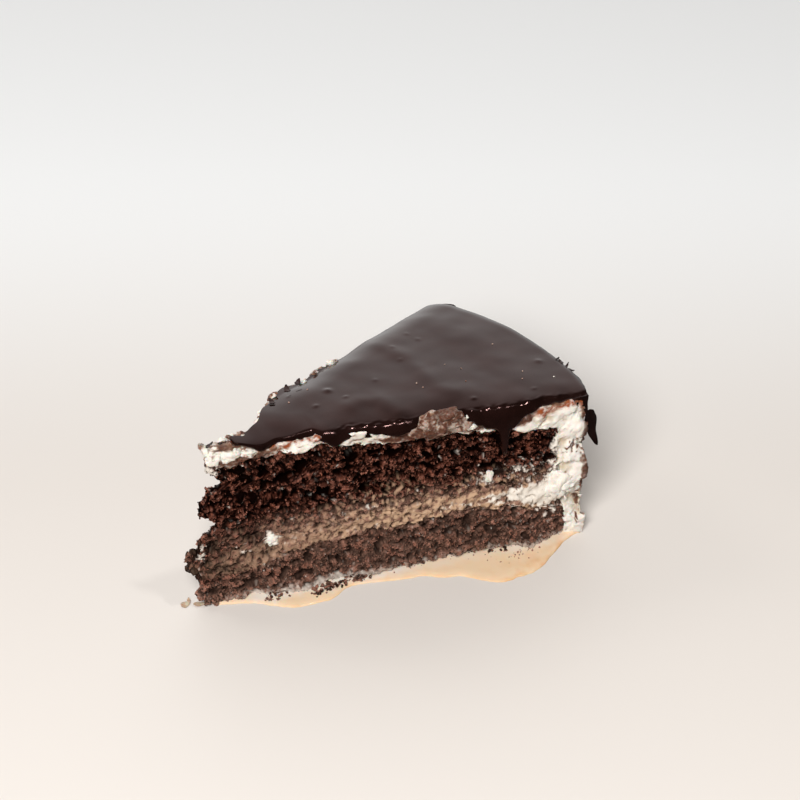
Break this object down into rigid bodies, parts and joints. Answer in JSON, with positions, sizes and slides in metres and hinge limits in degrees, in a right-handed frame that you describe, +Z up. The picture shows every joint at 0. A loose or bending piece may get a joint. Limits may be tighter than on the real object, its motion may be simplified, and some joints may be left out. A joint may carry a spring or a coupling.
{
  "type": "slice of chocolate cake",
  "caption": "Wedge of round layer cake: dark sponge, cream filling, cream coat on top and outer side, poured glossy glaze, and a thin pool of milk along one cut.",
  "frame": {"origin": "on the flat base, on the slice's middle line, 60 mm from the centre of the whole cake", "axes": "+X from the tip to the rounded outer side, -Y to the front cut that the milk lies along, +Z up"},
  "size_m": [0.1282, 0.0845, 0.0574],
  "materials": {
    "sponge": "open crumb, dark cocoa brown, damp at the foot",
    "filling": "soft cream stained beige by soaked crumb",
    "cream": "whipped cream, matt with soft lumps",
    "glaze": "poured chocolate, mirror gloss",
    "milk": "thin sweet milk, wet gloss"
  },
  "bodies": {
    "root": {"sponge_bottom": "sponge", "sponge_top": "sponge", "cream_filling": "filling", "cream_coat": "cream", "chocolate_glaze": "glaze", "milk_pool": "milk"}
  },
  "joints": []
}
